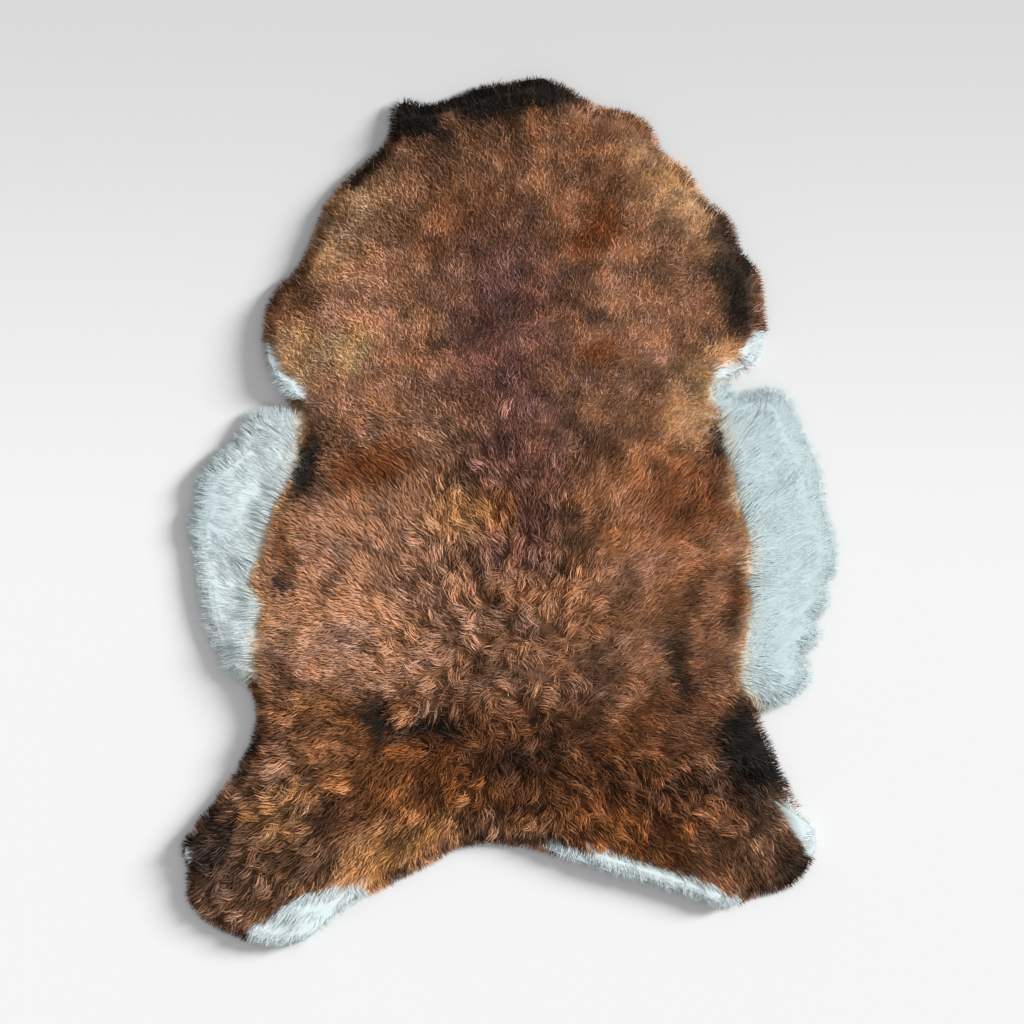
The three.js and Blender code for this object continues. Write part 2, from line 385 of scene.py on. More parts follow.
def steady(cells, seed):
    """Two steady numbers from 0 to 1 for each lattice cell: the fraction of a large sine."""
    phase = cells @ np.array([[127.1, 269.5], [311.7, 183.3]]) + seed * 74.7
    wave = np.sin(phase) * 43758.5453
    return wave - np.floor(wave)


def cell_corners(share):
    """A cell's four corners, as steps from its first, and their weights at each share across the cell."""
    for step in itertools.product((0, 1), repeat=2):
        yield step, np.prod(np.where(step, share, 1 - share), axis=1)


def cloud(places, size, seed):
    """A soft field from -1 to 1: lattice numbers blended smoothly across cells of the given size."""
    cell = np.floor(places / size)
    share = places / size - cell
    share = share * share * (3 - 2 * share)
    return 2 * sum(weight * steady(cell + step, seed)[:, 0] for step, weight in cell_corners(share)) - 1


def layered(places, layers):
    """A sum of soft fields, each times its strength."""
    return sum(layer.strength * cloud(places, layer.size, layer.seed) for layer in layers)


def drift(places, layers_by_axis):
    """Soft noise along X and along Y."""
    return np.stack([layered(places, layers) for layers in layers_by_axis], axis=1)


def turned(vectors, angle):
    """Plane vectors turned by an angle in radians."""
    cos, sin = np.cos(angle), np.sin(angle)
    x, y = vectors.T
    return np.stack([x * cos - y * sin, x * sin + y * cos], axis=1)


def unit(vectors):
    """Vectors of length one."""
    return vectors / np.maximum(np.linalg.norm(vectors, axis=-1, keepdims=True), 1e-9)


def in_chunks(function, places, size=2500):
    """The function's arrays for all places, worked out a chunk at a time to spare memory."""
    return np.concatenate([function(places[k : k + size]) for k in range(0, len(places), size)])


class Solid:
    """The CAD solid as fields over the floor in millimetres: how far inside the skin's cut edge a place
    is, the way out from there, and the height of the wool."""

    # Pitch and margin of the fields' grid, the height that still counts as floor, and the blur of the
    # wool's height.
    PITCH = 6.0
    MARGIN = 24.0
    FLOOR_LEVEL = 0.02
    BLUR = 5.0

    def __init__(self):
        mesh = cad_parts[NODE].data
        mesh.calc_loop_triangles()
        corners = np.empty(len(mesh.vertices) * 3)
        mesh.vertices.foreach_get("co", corners)
        numbers = np.empty(len(mesh.loop_triangles) * 3, int)
        mesh.loop_triangles.foreach_get("vertices", numbers)
        rounded = np.round(corners.reshape(-1, 3) / MM, 2)
        self.corners, merged = np.unique(rounded, axis=0, return_inverse=True)
        self.triangles = merged.reshape(-1)[numbers].reshape(-1, 3)
        self.edge = self.find_edge()
        after = np.roll(self.edge, -1, axis=0)
        before = np.roll(self.edge, 1, axis=0)
        self.area = 0.5 * abs(np.sum(self.edge[:, 0] * (after[:, 1] - before[:, 1])))
        self.low = self.edge.min(axis=0) - self.MARGIN
        across, along = np.ceil((self.edge.max(axis=0) + self.MARGIN - self.low) / self.PITCH).astype(int)
        x, y = np.meshgrid(np.arange(across + 1), np.arange(along + 1))
        nodes = self.low + self.PITCH * np.stack([x.ravel(), y.ravel()], axis=1)
        fields = np.column_stack([in_chunks(self.edge_distance, nodes), in_chunks(self.pile, nodes)])
        self.fields = fields.reshape(along + 1, across + 1, 4)

    def find_edge(self):
        """The skin's cut edge: the sides that only one triangle on the floor has, walked end to end."""
        floor = self.triangles[(self.corners[self.triangles, 2] < self.FLOOR_LEVEL).all(axis=1)]
        sides = {tuple(side) for side in floor[:, [0, 1, 1, 2, 2, 0]].reshape(-1, 2).tolist()}
        follow = {a: b for a, b in sides if (b, a) not in sides}
        loop = [min(follow)]
        while follow[loop[-1]] != loop[0]:
            loop.append(follow[loop[-1]])
        return self.corners[loop, :2]

    def edge_distance(self, places):
        """Distance inside the skin's edge, negative outside, and the way out: the nearest point on its
        sides, signed by how often a line from the place crosses the edge."""
        start, along = self.edge, np.roll(self.edge, -1, axis=0) - self.edge
        away = places[:, None] - start
        share = np.clip(np.sum(away * along, axis=2) / np.sum(along * along, axis=1), 0, 1)
        gap = share[..., None] * along - away
        distance = np.linalg.norm(gap, axis=2)
        nearest = np.argmin(distance, axis=1)
        rows = np.arange(len(places))
        level = places[:, None, 1]
        over = (start[:, 1] > level) != (start[:, 1] + along[:, 1] > level)
        rise = np.where(along[:, 1] == 0, 1, along[:, 1])
        crossing = start[:, 0] + along[:, 0] * (level - start[:, 1]) / rise
        inside = np.sum(over & (places[:, None, 0] < crossing), axis=1) % 2 == 1
        sign = np.where(inside, 1, -1)[:, None]
        return np.column_stack([sign[:, 0] * distance[rows, nearest], unit(gap[rows, nearest] * sign)])

    def pile(self, places):
        """Height of the solid's wool over each place: the heights of its top corners, weighted by the
        inverse fourth power of their distance."""
        top = self.corners[self.corners[:, 2] > 0.5 * self.corners[:, 2].max()]
        square = np.sum((places[:, None] - top[:, :2]) ** 2, axis=2) + self.BLUR**2
        weight = square**-2
        return weight @ top[:, 2] / weight.sum(axis=1)

    def at(self, places):
        """Edge distance, way out and wool height at places: the grid's values blended between nodes."""
        share = (places - self.low) / self.PITCH
        rows, columns = self.fields.shape[:2]
        cell = np.clip(np.floor(share).astype(int), 0, (columns - 2, rows - 2))
        share = np.clip(share - cell, 0, 1)
        total = sum(
            weight[:, None] * self.fields[cell[:, 1] + step[1], cell[:, 0] + step[0]]
            for step, weight in cell_corners(share)
        )
        return total[:, 0], unit(total[:, 1:3]), total[:, 3]


def warped(places):
    """Places moved about by soft noise, which gives the patches ragged rims."""
    return places + drift(places, RAGGED_PATCHES)


def patch_reach(places, patch):
    """How far out a place is in a patch's oval, 1 at its rim."""
    local = turned(places - np.array([patch.x, patch.y]), -np.radians(patch.turn))
    return np.hypot(local[:, 0] / patch.long, local[:, 1] / patch.wide)


def covered(tint, name, cover):
    """A tint with a named one laid over it by a share for each place."""
    return tint + cover[:, None] * (linear(TINTS[name]) - tint)


def flank_depth(places):
    """How far past the belly line a place lies, in millimetres, over a line between the stations."""
    x, y = places.T
    stations, left, right = np.array(BELLY_LINE).T
    depth = np.where(x < 0, -x - np.interp(y, stations, left), x - np.interp(y, stations, right))
    past_ends = (y < stations[0]) | (y > stations[-1])
    return np.where(past_ends, FAR_FROM_FLANK, depth)


def whiteness(places, spread=0):
    """How white the wool is, from 0 to 1: past the belly line, spread inwards by so much, or in a white
    patch."""
    ragged = 0.3 * (warped(places) - places)
    white = ease(flank_depth(places) + ragged[:, 0] + spread, -5, 4)
    for patch in WHITE_PATCHES:
        white = np.maximum(white, 1 - ease(patch_reach(places + ragged, patch), 0.85, 1.15))
    return white


def wool_tint(places):
    """Linear tint of the brown wool: patches laid over the brown in order, then mottling, stronger towards
    both ends, with dark blotches in the middle of the hide, and warmer and cooler places."""
    tint = np.tile(linear(TINTS["brown"]), (len(places), 1))
    bent = warped(places)
    for patch in PATCHES:
        cover = patch.cover * (1 - ease(patch_reach(bent, patch), 0.45, 1.35))
        tint = covered(tint, patch.tint, cover)
    y = places[:, 1]
    strength = 1 + 0.75 * ease(-y, 180, 300) + 0.35 * ease(y, 0, 130)
    blotch = 1 - 0.7 * ease(y, 40, 140) - 0.7 * ease(-y, 350, 400)
    mottle = layered(places, MOTTLE) - blotch * (0.7 * ease(cloud(bent, 27, 31), 0.25, 0.8) - 0.1)
    warmth = layered(places, WARMTH)[:, None] * WARMTH_OF_PLACE
    return tint * np.exp(strength * mottle)[:, None] * np.exp(warmth)


def flank_tint(places):
    """Linear tint of the white wool: white on the left flank and the hide's edges, greyer on the right
    flank, painted shade that evens out the stronger sun there, and on the left one's upper rim, painted
    shade where it turns away from the light, with a cream and straw fringe along the belly line."""
    x, y = places.T
    # Painted shade: a greyer white over the right flank, where the sun falls more strongly, and over the
    # left flank's upper rim.
    grey = np.maximum(ease(x, -100, 100), ease(-x, 325, 360) * ease(y, -70, 0))
    shaded_white = (0.1 + 0.9 * grey) * (1 - off_flanks(places))
    tint = covered(linear(TINTS["white"]), "shaded_white", shaded_white)
    depth = flank_depth(places)
    for fringe in WHITE_FRINGE:
        cover = fringe.cover * (1 - ease(depth, fringe.start, fringe.end)) * (np.abs(depth) < 40)
        tint = covered(tint, fringe.tint, cover)
    return tint


def off_flanks(places):
    """How far from the flanks a place lies, from 0 to 1: 1 on the white edges of shoulders and legs."""
    return 1 - ease(flank_depth(places), -30, -15)


def tuftedness(places):
    """How tufted the wool is, from 0, short and combed, to 1, long and curly."""
    tufted = np.zeros(len(places))
    bent = warped(places)
    for area in TUFTED:
        tufted = np.maximum(tufted, 1 - ease(patch_reach(bent, area), 0.5, 1.3))
    return tufted


def nap_heading(places):
    """The way the wool lies: out from the whorl, leaning less forwards than straight out, and turned
    to and fro by soft noise."""
    away = places - WHORL + drift(places, RAGGED_NAP)
    away[:, 1] *= np.where(away[:, 1] > 0, FORWARD_LEAN, 1)
    return turned(unit(away), layered(places, NAP_WAVER))


def lie_heading(roots):
    """The way a lock lies: with the nap, and turned outwards near the skin's edge."""
    edge = 1 - ease(roots.distance, 0, EDGE_BAND)[:, None]
    return unit(nap_heading(roots.place) * (1 - edge) + 1.1 * roots.out * edge)


def nearest_tuft(places, pitch, seed):
    """Centre of each place's tuft, and how far the place is from its parting with the next tuft as a
    share of the pitch: one centre is scattered in each cell of a square lattice, and the nearest in
    the nine cells round the place wins."""
    cell = np.floor(places / pitch)
    steps = np.array(list(itertools.product((-1, 0, 1), repeat=2)))
    around = cell[:, None] + steps
    centres = (around + steady(around, seed)) * pitch
    distance = np.linalg.norm(centres - places[:, None], axis=2)
    first, second = np.sort(distance, axis=1)[:, :2].T
    nearest = np.argmin(distance, axis=1)
    return centres[np.arange(len(places)), nearest], (second - first) / pitch


def tuft_chance(centre, seed):
    """Two steady numbers from 0 to 1 for each tuft, by its centre in tenths of a millimetre."""
    return steady(np.round(centre * 10), seed)


def scatter(solid, spacing, random):
    """Roots on a staggered lattice over the skin, each moved at random by up to half the spacing."""
    low, high = solid.edge.min(axis=0), solid.edge.max(axis=0)
    columns = np.arange(low[0], high[0], spacing)
    rows = np.arange(low[1], high[1], spacing * np.sqrt(0.75))
    x, y = np.meshgrid(columns, rows)
    x[1::2] += spacing / 2
    places = np.stack([x.ravel(), y.ravel()], axis=1)
    places += random.uniform(-0.5, 0.5, places.shape) * spacing
    roots = Roots(places, *solid.at(places))
    return chosen(roots, roots.distance > -ROOTS_PAST_EDGE)


def chosen(roots, mask):
    """The roots under a mask."""
    return Roots(*(column[mask] for column in roots))


def lock_paths(roots, lock, settings, random):
    """Points along each lock, two steady numbers of its tuft, how far it is out of the tuft's parting
    and its tip's distance inside the skin's edge. A lock rises from the under-wool, leans over the way
    of the nap, curls to one side and is drawn towards its tuft's tip. Near the skin's edge it turns
    outwards, reaches past the rim and falls in an arch to the rim's section."""
    count = len(roots.place)
    centre, parting = nearest_tuft(roots.place, settings.tuft_size / MM * lock.tuft, TUFT_SEED)
    chance = tuft_chance(centre, LIE_SEED)
    crown = ease(parting, 0, 0.3)
    near_edge = 1 - ease(roots.distance, 0, EDGE_BAND)

    # The way it lies, and how much of that is straight out.
    round_whorl = np.exp(-np.sum((roots.place - WHORL) ** 2, axis=1) / WHORL_RADIUS**2)
    swing = (chance[:, 0] - 0.5) * (lock.swing + WHORL_SWING * round_whorl)
    stray = random.normal(0, lock.stray, count)
    heading = turned(lie_heading(roots), (swing + stray) * (1 - 0.6 * near_edge))
    outwards = np.maximum(np.sum(heading * roots.out, axis=1), 0.05)

    # How far it reaches. Rim locks lie on several levels, the lower ones with less overhang.
    at_rim = (roots.distance < RIM_BAND) & (random.uniform(0, 1, count) < RIM_SHARE)
    level = np.where(at_rim, 1 - 0.35 * random.uniform(0, 1, count) ** 2, 1)
    overhang = OVERHANG + layered(roots.place, RAGGED_RIM) + random.uniform(-4, 2, count)
    overhang += EDGING_OVERHANG * off_flanks(roots.place) if lock is FLANK else BROWN_OVERHANG
    to_rim = np.maximum((roots.distance + overhang * (0.3 + 0.7 * level)) / outwards, 2)
    reach = getattr(settings, lock.reach) / MM * random.uniform(0.7, 1.3, count)
    reach *= 0.85 + 0.3 * chance[:, 1]
    reach *= 1 - 0.4 * ease(flank_depth(roots.place), -22, -8) * (lock is not FLANK)
    reach = np.where(at_rim, np.minimum(to_rim, LONGEST_REACH), np.minimum(reach, to_rim))

    # How high its root and its tip stand.
    root = np.interp(roots.distance, RIM_DISTANCE, RIM_RISE) * lock.root * level * roots.pile
    tip_distance = roots.distance - reach * outwards
    tip = np.interp(tip_distance, RIM_DISTANCE, RIM_RISE) * level * roots.pile
    tip *= random.uniform(0.95 if lock is FLANK else 0.9, 1.03, count)
    if lock is CURLY:
        tip *= (0.84 + 0.18 * chance[:, 1]) * (0.86 + 0.14 * crown)

    # Its path: along the heading, bowed to one side, then drawn towards the tuft's tip.
    along, climb, aside = lock.shape[:, :3].T
    bow = random.normal(0, 0.07, count) + lock.curl * (chance[:, 1] - 0.5)
    side = turned(heading, np.pi / 2) * (reach * bow)[:, None]
    flat = roots.place[:, None] + (heading * reach[:, None])[:, None] * along[:, None]
    flat += side[:, None] * aside[:, None]
    drawn = lock.drawn + (lock.rim_drawn - lock.drawn) * near_edge
    tuft_heading = turned(lie_heading(roots._replace(place=centre)), swing)
    tuft_tip = centre + tuft_heading * reach[:, None]
    flat += (drawn[:, None] * along**1.4)[..., None] * (tuft_tip - flat[:, -1])[:, None]
    rise = np.where((tip < root)[:, None], along**2, climb)
    height = np.maximum(root[:, None] + (tip - root)[:, None] * rise, LOWEST_LOCK)
    return np.concatenate([flat, height[..., None]], axis=2), chance, crown, tip_distance


def lock_faces(rings):
    """Triangles of one lock, side by side: the root's fan, two between each ring and the next, and
    the tip's fan. Corner 0 is the root, then the rings of three, then the tip."""
    faces = []
    for a, b in ((1, 2), (2, 3), (3, 1)):
        faces.append((0, b, a))
        for k in range(0, 3 * (rings - 1), 3):
            faces += [(k + a, k + b, k + 3 + b), (k + a, k + 3 + b, k + 3 + a)]
        last = 3 * (rings - 1)
        faces.append((last + a, last + b, 3 * rings + 1))
    return np.array(faces)


def lock_spindles(paths, shape, width, random):
    """Corners, triangles and normals of the locks: a point at the root, a triangle across the path at
    each inner step, turned at random about it, and a point at the tip. Corners run lock by lock."""
    count, rings = len(paths), len(shape) - 2
    ahead = unit(paths[:, 2:] - paths[:, :-2])
    side = unit(np.cross([0, 0, 1], ahead))
    above = np.cross(ahead, side)
    spin = random.uniform(0, 2 * np.pi, count)[:, None] + np.arange(3) * 2 * np.pi / 3
    half = width[:, None, None] / 2 * shape[1:-1, 3][:, None]
    across = (half * np.cos(spin)[:, None])[..., None] * side[:, :, None]
    upwards = (half * np.sin(spin)[:, None])[..., None] * above[:, :, None]
    ring = paths[:, 1:-1, None] + across + upwards
    corners = np.concatenate([paths[:, :1], ring.reshape(count, 3 * rings, 3), paths[:, -1:]], axis=1)
    faces = np.arange(count)[:, None, None] * corners.shape[1] + lock_faces(rings)
    round_normals = unit(across + upwards).reshape(count, 3 * rings, 3)
    normals = np.concatenate([above[:, :1], round_normals, above[:, -1:]], axis=1)
    return corners.reshape(-1, 3), faces.reshape(-1, 3), normals.reshape(-1, 3)


def lock_cells(first, count, rings):
    """A small cell of the unit square for each lock from a first one on, with its three sides laid
    out in it as strips that narrow to the root and the tip."""
    faces = lock_faces(rings).reshape(3, -1)
    layout = []
    for side, far in enumerate((1, 2, 0)):
        for corner in faces[side]:
            ring, turn = divmod(corner - 1, 3)
            is_end = corner in (0, 3 * rings + 1)
            along = 0.08 + 0.84 * (0 if corner == 0 else (ring + 1) / (rings + 1))
            across = 0.5 if is_end else 0.1 + 0.8 * (turn == far)
            layout.append(((side + across) / 3, along))
    row, column = np.divmod(first + np.arange(count), CELLS_ACROSS)
    corner = np.stack([column, row], axis=1)
    return ((corner[:, None] + np.array(layout)) / CELLS_ACROSS).reshape(-1, 2)


def add_object(data):
    """A new object in the scene, named after its mesh, light or camera."""
    made = bpy.data.objects.new(data.name, data)
    bpy.context.scene.collection.objects.link(made)
    return made


def add_piece(mesh, material):
    """A piece from a mesh, with its material, riding on the hide's body and standing for its solid."""
    mesh.materials.append(material)
    piece = add_object(mesh)
    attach(piece, BODY)
    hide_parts(NODE)
    return piece


def smooth_piece(name, corners, faces, material):
    """A smooth piece from arrays: corners in millimetres, and triangles."""
    mesh = bpy.data.meshes.new(name)
    mesh.vertices.add(len(corners))
    mesh.vertices.foreach_set("co", (corners * MM).ravel())
    mesh.loops.add(faces.size)
    mesh.loops.foreach_set("vertex_index", faces.ravel())
    mesh.polygons.add(len(faces))
    mesh.polygons.foreach_set("loop_start", np.arange(0, faces.size, faces.shape[1]))
    mesh.polygons.foreach_set("use_smooth", np.ones(len(faces), bool))
    mesh.update(calc_edges=True)
    return add_piece(mesh, material)


def paint(piece, tints):
    """Stores a linear tint at each corner."""
    layer = piece.data.attributes.new(TINT_LAYER, "FLOAT_COLOR", "POINT")
    layer.data.foreach_set("color", np.column_stack([tints, np.ones(len(tints))]).ravel())


def soften(piece, normals, softness):
    """Turns a piece's normals upwards by a share, so that it shades as one soft surface."""
    soft = unit((1 - softness) * normals + softness * np.array([0, 0, 1]))
    piece.data.normals_split_custom_set_from_vertices(soft)


class Value:
    """A shader value: arithmetic on it adds Math nodes to its material."""

    def __init__(self, tree, socket):
        self.tree = tree
        self.socket = socket

    def node(self, kind, settings=None, output=0, **inputs):
        """Adds a node: settings first, then the values or links of its sockets."""
        made = self.tree.nodes.new(kind)
        for key, value in (settings or {}).items():
            setattr(made, key, value)
        for key, value in inputs.items():
            socket = made.inputs[int(key[1:]) if key[1:].isdigit() else key.replace("_", " ")]
            if isinstance(value, Value):
                self.tree.links.new(value.socket, socket)
            else:
                socket.default_value = value
        return Value(self.tree, made.outputs[output])

    def math(self, operation, first, second):
        """Adds a Math node."""
        return self.node("ShaderNodeMath", {"operation": operation}, _0=first, _1=second)

    def mix(self, share, first, second, blend="MIX"):
        """Adds a Mix node for colours."""
        settings = {"data_type": "RGBA", "blend_type": blend}
        return self.node("ShaderNodeMix", settings, output=2, _0=share, _6=first, _7=second)

    def __add__(self, other):
        return self.math("ADD", self, other)

    def __sub__(self, other):
        return self.math("SUBTRACT", self, other)

    def __rsub__(self, other):
        return self.math("SUBTRACT", other, self)

    def __mul__(self, other):
        return self.math("MULTIPLY", self, other)

    __radd__ = __add__
    __rmul__ = __mul__


def new_material(name):
    """An empty material with its surface shader, and a value to start expressions from."""
    material = bpy.data.materials.new(name)
    material.use_nodes = True
    shader = material.node_tree.nodes["Principled BSDF"]
    start = Value(material.node_tree, None)
    return material, shader, start


def feed(shader, varying, constant):
    """Feeds what varies into a shader's sockets, and sets those that are the same all over."""
    for name, value in varying.items():
        value.tree.links.new(value.socket, shader.inputs[name])
    for name, value in constant.items():
        shader.inputs[name].default_value = value


def rgba(colour, share=1.0):
    """A setting's colour, darkened to a share, as a socket takes it."""
    return [*(share * channel for channel in colour), 1.0]


def wool_material(name, in_locks):
    """Wool: its own tint broken by fine fibres, which run along the locks or lie as felt, matt, with a
    soft sheen."""
    material, shader, start = new_material(name)
    if in_locks:
        flat = start.node("ShaderNodeUVMap", {"uv_map": FLAT_LAYER})
        fibres = [CELLS_ACROSS * FIBRES_ACROSS, CELLS_ACROSS * FIBRES_ALONG, 0.0]
        place = start.node("ShaderNodeVectorMath", {"operation": "MULTIPLY"}, _0=flat, _1=fibres)
    else:
        solid = start.node("ShaderNodeTexCoord", output=3)
        place = start.node("ShaderNodeVectorMath", {"operation": "SCALE"}, _0=solid, Scale=FELT_FIBRES)
    fibre = start.node("ShaderNodeTexNoise", Vector=place, Scale=1.0, Detail=2.0)
    tint = start.node("ShaderNodeAttribute", {"attribute_name": TINT_LAYER})
    shade = 0.86 + 0.28 * fibre
    shades = start.node("ShaderNodeCombineColor", Red=shade, Green=shade, Blue=shade)
    colour = start.mix(1.0, tint, shades, "MULTIPLY")
    bump = start.node("ShaderNodeBump", Strength=0.3, Distance=FIBRE_DEPTH, Height=fibre)
    varying = {"Base Color": colour, "Roughness": 0.62 + 0.25 * fibre, "Normal": bump}
    feed(shader, varying, {"Specular IOR Level": 0.12, "Sheen Weight": 0.1, "Sheen Roughness": 0.45})
    return material


def suede_material(name, colour):
    """Suede: pale tan with cloudy mottling and a fine brushed nap."""
    material, shader, start = new_material(name)
    place = start.node("ShaderNodeTexCoord", output=3)
    clouds = start.node("ShaderNodeTexNoise", Vector=place, Scale=9.0, Detail=5.0)
    grain = start.node("ShaderNodeTexNoise", Vector=place, Scale=900.0, Detail=2.0)
    share = 0.75 * clouds + 0.3 * grain - 0.05
    mixed = start.mix(share, rgba(colour, 0.72), rgba(colour))
    bump = start.node("ShaderNodeBump", Strength=0.4, Distance=FIBRE_DEPTH, Height=grain + 0.6 * clouds)
    varying = {"Base Color": mixed, "Roughness": 0.82 + 0.16 * grain, "Normal": bump}
    feed(shader, varying, {"Sheen Weight": 0.25, "Specular IOR Level": 0.2})
    return material


def floor_material(name, colour):
    """A plain pale floor that darkens a little towards the far end, painted shade that stands in for light
    falling off there.
    """
    material, shader, start = new_material(name)
    place = start.node("ShaderNodeTexCoord", output=3)
    along = start.node("ShaderNodeSeparateXYZ", output=1, Vector=place)
    smooth = {"interpolation_type": "SMOOTHSTEP"}
    # Painted shade: the floor's colour darkens towards the far end in place of light falling off.
    far = start.node("ShaderNodeMapRange", smooth, _0=along, _1=-0.1, _2=0.75, _3=0.0, _4=1.0)
    tint = start.mix(far, rgba(colour), rgba(colour, 0.74))
    feed(shader, {"Base Color": tint}, {"Roughness": 0.9, "Specular IOR Level": 0.1})
    return material


# What settings of a kind have in common.
LENGTH = {"subtype": "DISTANCE", "unit": "LENGTH"}
ANGLE = {"subtype": "ANGLE", "unit": "ROTATION"}
SHARE = {"subtype": "FACTOR", "min": 0, "max": 1}
COLOUR = {"subtype": "COLOR", "min": 0, "max": 1}


class SheepskinWool(bpy.types.PropertyGroup):
    """Sizes of the wool."""

    brown_spacing: bpy.props.FloatProperty(
        name="Brown spacing", description="Distance between locks on the back", default=0.00235,
        min=0.002, **LENGTH
    )
    white_spacing: bpy.props.FloatProperty(
        name="White spacing", description="Distance between locks on the flanks", default=0.0018,
        min=0.0015, **LENGTH
    )
    lock_width: bpy.props.FloatProperty(
        name="Lock width", description="Width of a combed lock at its widest", default=0.0012, **LENGTH
    )
    combed_reach: bpy.props.FloatProperty(
        name="Combed reach", description="How far a combed lock lies over", default=0.0125, **LENGTH
    )
    shorn_reach: bpy.props.FloatProperty(
        name="Shorn reach", description="How far a lock lies over on the neck and shoulders",
        default=0.0085, **LENGTH
    )
    flank_reach: bpy.props.FloatProperty(
        name="Flank reach", description="How far a white lock lies over", default=0.021, **LENGTH
    )
    curly_reach: bpy.props.FloatProperty(
        name="Curly reach", description="How far a curly lock lies over", default=0.018, **LENGTH
    )
    tuft_size: bpy.props.FloatProperty(
        name="Tuft size", description="Width of a tuft where the wool is curly",
        default=0.0145, **LENGTH
    )
    brown_softness: bpy.props.FloatProperty(
        name="Brown softness", description="How much brown locks shade as one soft surface",
        default=0.55, **SHARE
    )
    white_softness: bpy.props.FloatProperty(
        name="White softness", description="How much white locks shade as one soft surface",
        default=0.96, **SHARE
    )
    seed: bpy.props.IntProperty(name="Seed", description="Another number gives other locks", default=5)


class SheepskinSkin(bpy.types.PropertyGroup):
    """Size and colour of the tanned skin."""

    thickness: bpy.props.FloatProperty(
        name="Thickness", description="Thickness of the tanned skin", default=0.002, **LENGTH
    )
    colour: bpy.props.FloatVectorProperty(
        name="Suede", description="Colour of the skin's back", default=(0.62, 0.5, 0.36), **COLOUR
    )


class SheepskinStage(bpy.types.PropertyGroup):
    """Floor, light and camera."""

    floor_colour: bpy.props.FloatVectorProperty(
        name="Floor", description="Colour of the floor", default=(0.88, 0.88, 0.88), **COLOUR
    )
    sun: bpy.props.FloatProperty(
        name="Sun", description="Strength of the soft light from the right", default=5.5
    )
    sun_size: bpy.props.FloatProperty(
        name="Sun size", description="How wide that light looks from the floor",
        default=np.radians(16), **ANGLE
    )
    sun_height: bpy.props.FloatProperty(
        name="Sun height", description="Height of that light above the floor",
        default=np.radians(20), **ANGLE
    )
    sun_bearing: bpy.props.FloatProperty(
        name="Sun bearing", description="Where that light stands, from +X towards +Y",
        default=np.radians(18), **ANGLE
    )
    sky: bpy.props.FloatProperty(name="Sky", description="Strength of the light all round", default=0.46)
    sky_colour: bpy.props.FloatVectorProperty(
        name="Sky colour", description="Colour of the light all round",
        default=(0.97, 0.97, 0.98), **COLOUR
    )
    camera_height: bpy.props.FloatProperty(
        name="Camera height", description="Height of the camera over the floor", default=3.2, **LENGTH
    )


class SHEEPSKIN_OT_skin(bpy.types.Operator):
    """Lay the tanned skin: a flat sheet with the solid's cut edge"""

    bl_idname = "sheepskin.skin"
    bl_label = "Skin"

    def execute(self, context):
        settings = context.scene.sheepskin_skin
        edge = Solid().edge
        count = len(edge)
        sheet = np.concatenate([
            np.column_stack([edge, np.full(count, height)]) for height in (0, settings.thickness / MM)
        ])
        here = np.arange(count)
        after = np.roll(here, -1)
        clockwise = np.sum(edge[here, 0] * edge[after, 1] - edge[after, 0] * edge[here, 1]) < 0
        wall = np.stack([here, after, after + count, here + count], axis=1)
        if clockwise:
            wall = wall[:, ::-1]
        down, up = (here, here[::-1]) if clockwise else (here[::-1], here)
        mesh = bpy.data.meshes.new("skin")
        faces = wall.tolist() + [down.tolist(), (up + count).tolist()]
        mesh.from_pydata((sheet * MM).tolist(), [], faces)
        mesh.update()
        add_piece(mesh, suede_material("skin_suede", settings.colour))
        return {"FINISHED"}


class SHEEPSKIN_OT_under_wool(bpy.types.Operator):
    """Lay the dense under-wool that fills the pile beneath the locks"""

    bl_idname = "sheepskin.under_wool"
    bl_label = "Under-wool"

    def execute(self, context):
        solid = Solid()
        corners = solid.corners.copy()
        places = corners[:, :2]
        distance, out, _ = solid.at(places)
        white = whiteness(places, UNDER_SPREAD)
        edging = off_flanks(places)
        of_white = UNDER_DRAWN_IN["flank"] + (UNDER_DRAWN_IN["edging"] - UNDER_DRAWN_IN["flank"]) * edging
        drawn_in = UNDER_DRAWN_IN["brown"] * (1 - white) + of_white * white
        places -= (drawn_in * np.exp(-(distance + UNDER_RIM) / UNDER_FADE))[:, None] * out
        x, y = places.T
        lower_left = ease(-x, 100, 200) * ease(-y, 40, 120)
        fill = WHITE_FILL + EXTRA_FILL * np.maximum(edging, lower_left)
        share = UNDER_HEIGHT * (0.72 + 0.28 * ease(distance, -4, 22)) + fill * white
        floor = context.scene.sheepskin_skin.thickness / MM + UNDER_CLEARANCE
        corners[:, 2] = floor + share * corners[:, 2]
        material = wool_material("under_wool", False)
        piece = smooth_piece("under_wool", corners, solid.triangles, material)
        # Painted shade: the under-wool is darker than the locks, as the gaps between them lie in shade,
        # deeper under tufted wool, lighter under close-shorn wool and darkest at the rim; under white wool
        # it is a little greyer for the same painted shade.
        dark = 0.76 - 0.36 * tuftedness(places) + 0.2 * ease(y, SHORN_FROM, SHORN_TO)
        dark *= 1 - 0.6 * (1 - ease(distance, -9, 8))
        brown = dark[:, None] ** DEEPENING * wool_tint(places)
        pale = 0.92 * flank_tint(places)
        paint(piece, brown * (1 - white[:, None]) + pale * white[:, None])
        normals = np.empty(corners.size)
        piece.data.vertex_normals.foreach_get("vector", normals)
        soften(piece, normals.reshape(-1, 3), context.scene.sheepskin_wool.white_softness)
        return {"FINISHED"}


